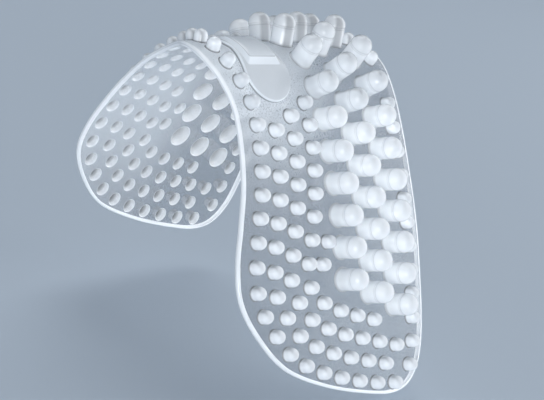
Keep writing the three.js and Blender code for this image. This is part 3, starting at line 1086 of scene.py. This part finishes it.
def make_floor(grip):
    low = CAD_BOX[0].z - FLOOR_GAP
    mesh = bpy.data.meshes.new("floor")
    corners = [(-1, -1), (1, -1), (1, 1), (-1, 1)]
    mesh.from_pydata([(x * FLOOR_HALF, y * FLOOR_HALF, low) for x, y in corners], [], [(0, 1, 2, 3)])
    material = bpy.data.materials.new("Floor")
    material.use_nodes = True
    shader = material.node_tree.nodes["Principled BSDF"]
    shader.inputs["Base Color"].default_value = (*grip.finish.floor, 1)
    shader.inputs["Roughness"].default_value = FLOOR_ROUGHNESS
    mesh.materials.append(material)
    floor = bpy.data.objects.new("floor", mesh)
    bpy.context.scene.collection.objects.link(floor)


# Soft lights: place in metres, size in metres, watts, colour, and whether gloss shows them
Lamp = namedtuple("Lamp", "name place size power colour gloss")
LAMPS = [
    Lamp("right", (0.5, 0.95, 0.0), 0.7, 15, (1.0, 0.99, 0.98), False),
    Lamp("left", (0.78, -0.82, -0.03), 0.7, 15, (0.98, 0.99, 1.0), True),
    Lamp("top", (-0.4, 0.3, 1.1), 0.8, 6, (0.95, 0.98, 1.0), True),
]


SKY_COLOUR = (0.66, 0.76, 0.9, 1)
SKY_LOW = 0.5  # strength of the soft light at the horizon
SKY_HIGH = 0.12  # and overhead


def make_lights():
    scene = bpy.context.scene
    for lamp in LAMPS:
        light = bpy.data.lights.new(lamp.name, "AREA")
        light.shape = "DISK"
        light.size = lamp.size
        light.energy = lamp.power
        light.color = lamp.colour
        item = bpy.data.objects.new(lamp.name, light)
        item.location = lamp.place
        item.visible_glossy = lamp.gloss
        item.rotation_euler = (TARGET - Vector(lamp.place)).to_track_quat("-Z", "Y").to_euler()
        scene.collection.objects.link(item)
    world = bpy.data.worlds.new("studio")
    world.use_nodes = True
    nodes, links = world.node_tree.nodes, world.node_tree.links
    sky = nodes["Background"]
    sky.inputs["Color"].default_value = SKY_COLOUR
    place = nodes.new("ShaderNodeTexCoord")
    part = nodes.new("ShaderNodeSeparateXYZ")
    fade = nodes.new("ShaderNodeMapRange")
    fade.inputs["To Min"].default_value = SKY_LOW
    fade.inputs["To Max"].default_value = SKY_HIGH
    links.new(place.outputs["Generated"], part.inputs["Vector"])
    links.new(part.outputs["Z"], fade.inputs["Value"])
    links.new(fade.outputs["Result"], sky.inputs["Strength"])
    scene.world = world
    scene.view_settings.view_transform = "Standard"


CAMERA_PLACE = Vector((0.20886, -0.22564, 0.06474))
CAMERA_RIGHT = Vector((0.6758, 0.7033, 0.2207))
CAMERA_DOWN = Vector((0.3629, -0.0568, -0.9301))
CAMERA_LENS = 109.43
CAMERA_SENSOR = 36
CAMERA_NEAR = 0.01


def make_camera(scene):
    data = bpy.data.cameras.new("camera")
    data.lens = CAMERA_LENS
    data.sensor_width = CAMERA_SENSOR
    data.clip_start = CAMERA_NEAR
    camera = bpy.data.objects.new("camera", data)
    right = CAMERA_RIGHT.normalized()
    back = right.cross(-CAMERA_DOWN).normalized()
    up = back.cross(right)
    turn = Matrix((right, up, back)).transposed()
    camera.matrix_world = Matrix.Translation(CAMERA_PLACE) @ turn.to_4x4()
    scene.collection.objects.link(camera)
    scene.camera = camera


class HeelGrip(bpy.types.PropertyGroup):
    sheet: PointerProperty(name="Sheet", description="Sizes of the sheet", type=HeelGripSheet)
    domes: PointerProperty(name="Domes", description="Sizes of the domes", type=HeelGripDomes)
    pegs: PointerProperty(name="Pegs", description="Sizes of the pegs", type=HeelGripPegs)
    tab: PointerProperty(name="Tab", description="Sizes of the tab", type=HeelGripTab)
    finish: PointerProperty(name="Finish", description="Colours and grain", type=HeelGripFinish)


STEPS = (
    HEELGRIP_OT_sheet,
    HEELGRIP_OT_domes,
    HEELGRIP_OT_pegs,
    HEELGRIP_OT_tab,
    HEELGRIP_OT_fuse,
    HEELGRIP_OT_stage,
)


class HEELGRIP_PT_panel(bpy.types.Panel):
    """Lists the steps that build the heel grip, and its sizes and colours"""

    bl_label = "Heel grip"
    bl_idname = "HEELGRIP_PT_panel"
    bl_space_type = "VIEW_3D"
    bl_region_type = "UI"
    bl_category = "Heel grip"

    def draw(self, context):
        grip = context.scene.heel_grip
        for step in STEPS:
            self.layout.operator(step.bl_idname)
        for part in ("sheet", "domes", "pegs", "tab", "finish"):
            box = self.layout.box()
            box.label(text=part.capitalize())
            group = getattr(grip, part)
            for name in group.bl_rna.properties.keys():
                if name not in ("rna_type", "name"):
                    box.prop(group, name)


CLASSES = (
    HeelGripSheet,
    HeelGripDomes,
    HeelGripPegs,
    HeelGripTab,
    HeelGripFinish,
    HeelGrip,
    *STEPS,
    HEELGRIP_PT_panel,
)


def register():
    for item in CLASSES:
        bpy.utils.register_class(item)
    bpy.types.Scene.heel_grip = PointerProperty(type=HeelGrip)


def unregister():
    del bpy.types.Scene.heel_grip
    for item in reversed(CLASSES):
        bpy.utils.unregister_class(item)


def main():
    register()
    bpy.ops.heelgrip.sheet()
    bpy.ops.heelgrip.domes()
    bpy.ops.heelgrip.pegs()
    bpy.ops.heelgrip.tab()
    bpy.ops.heelgrip.fuse()
    bpy.ops.heelgrip.stage()


if __name__ == "__main__":
    main()
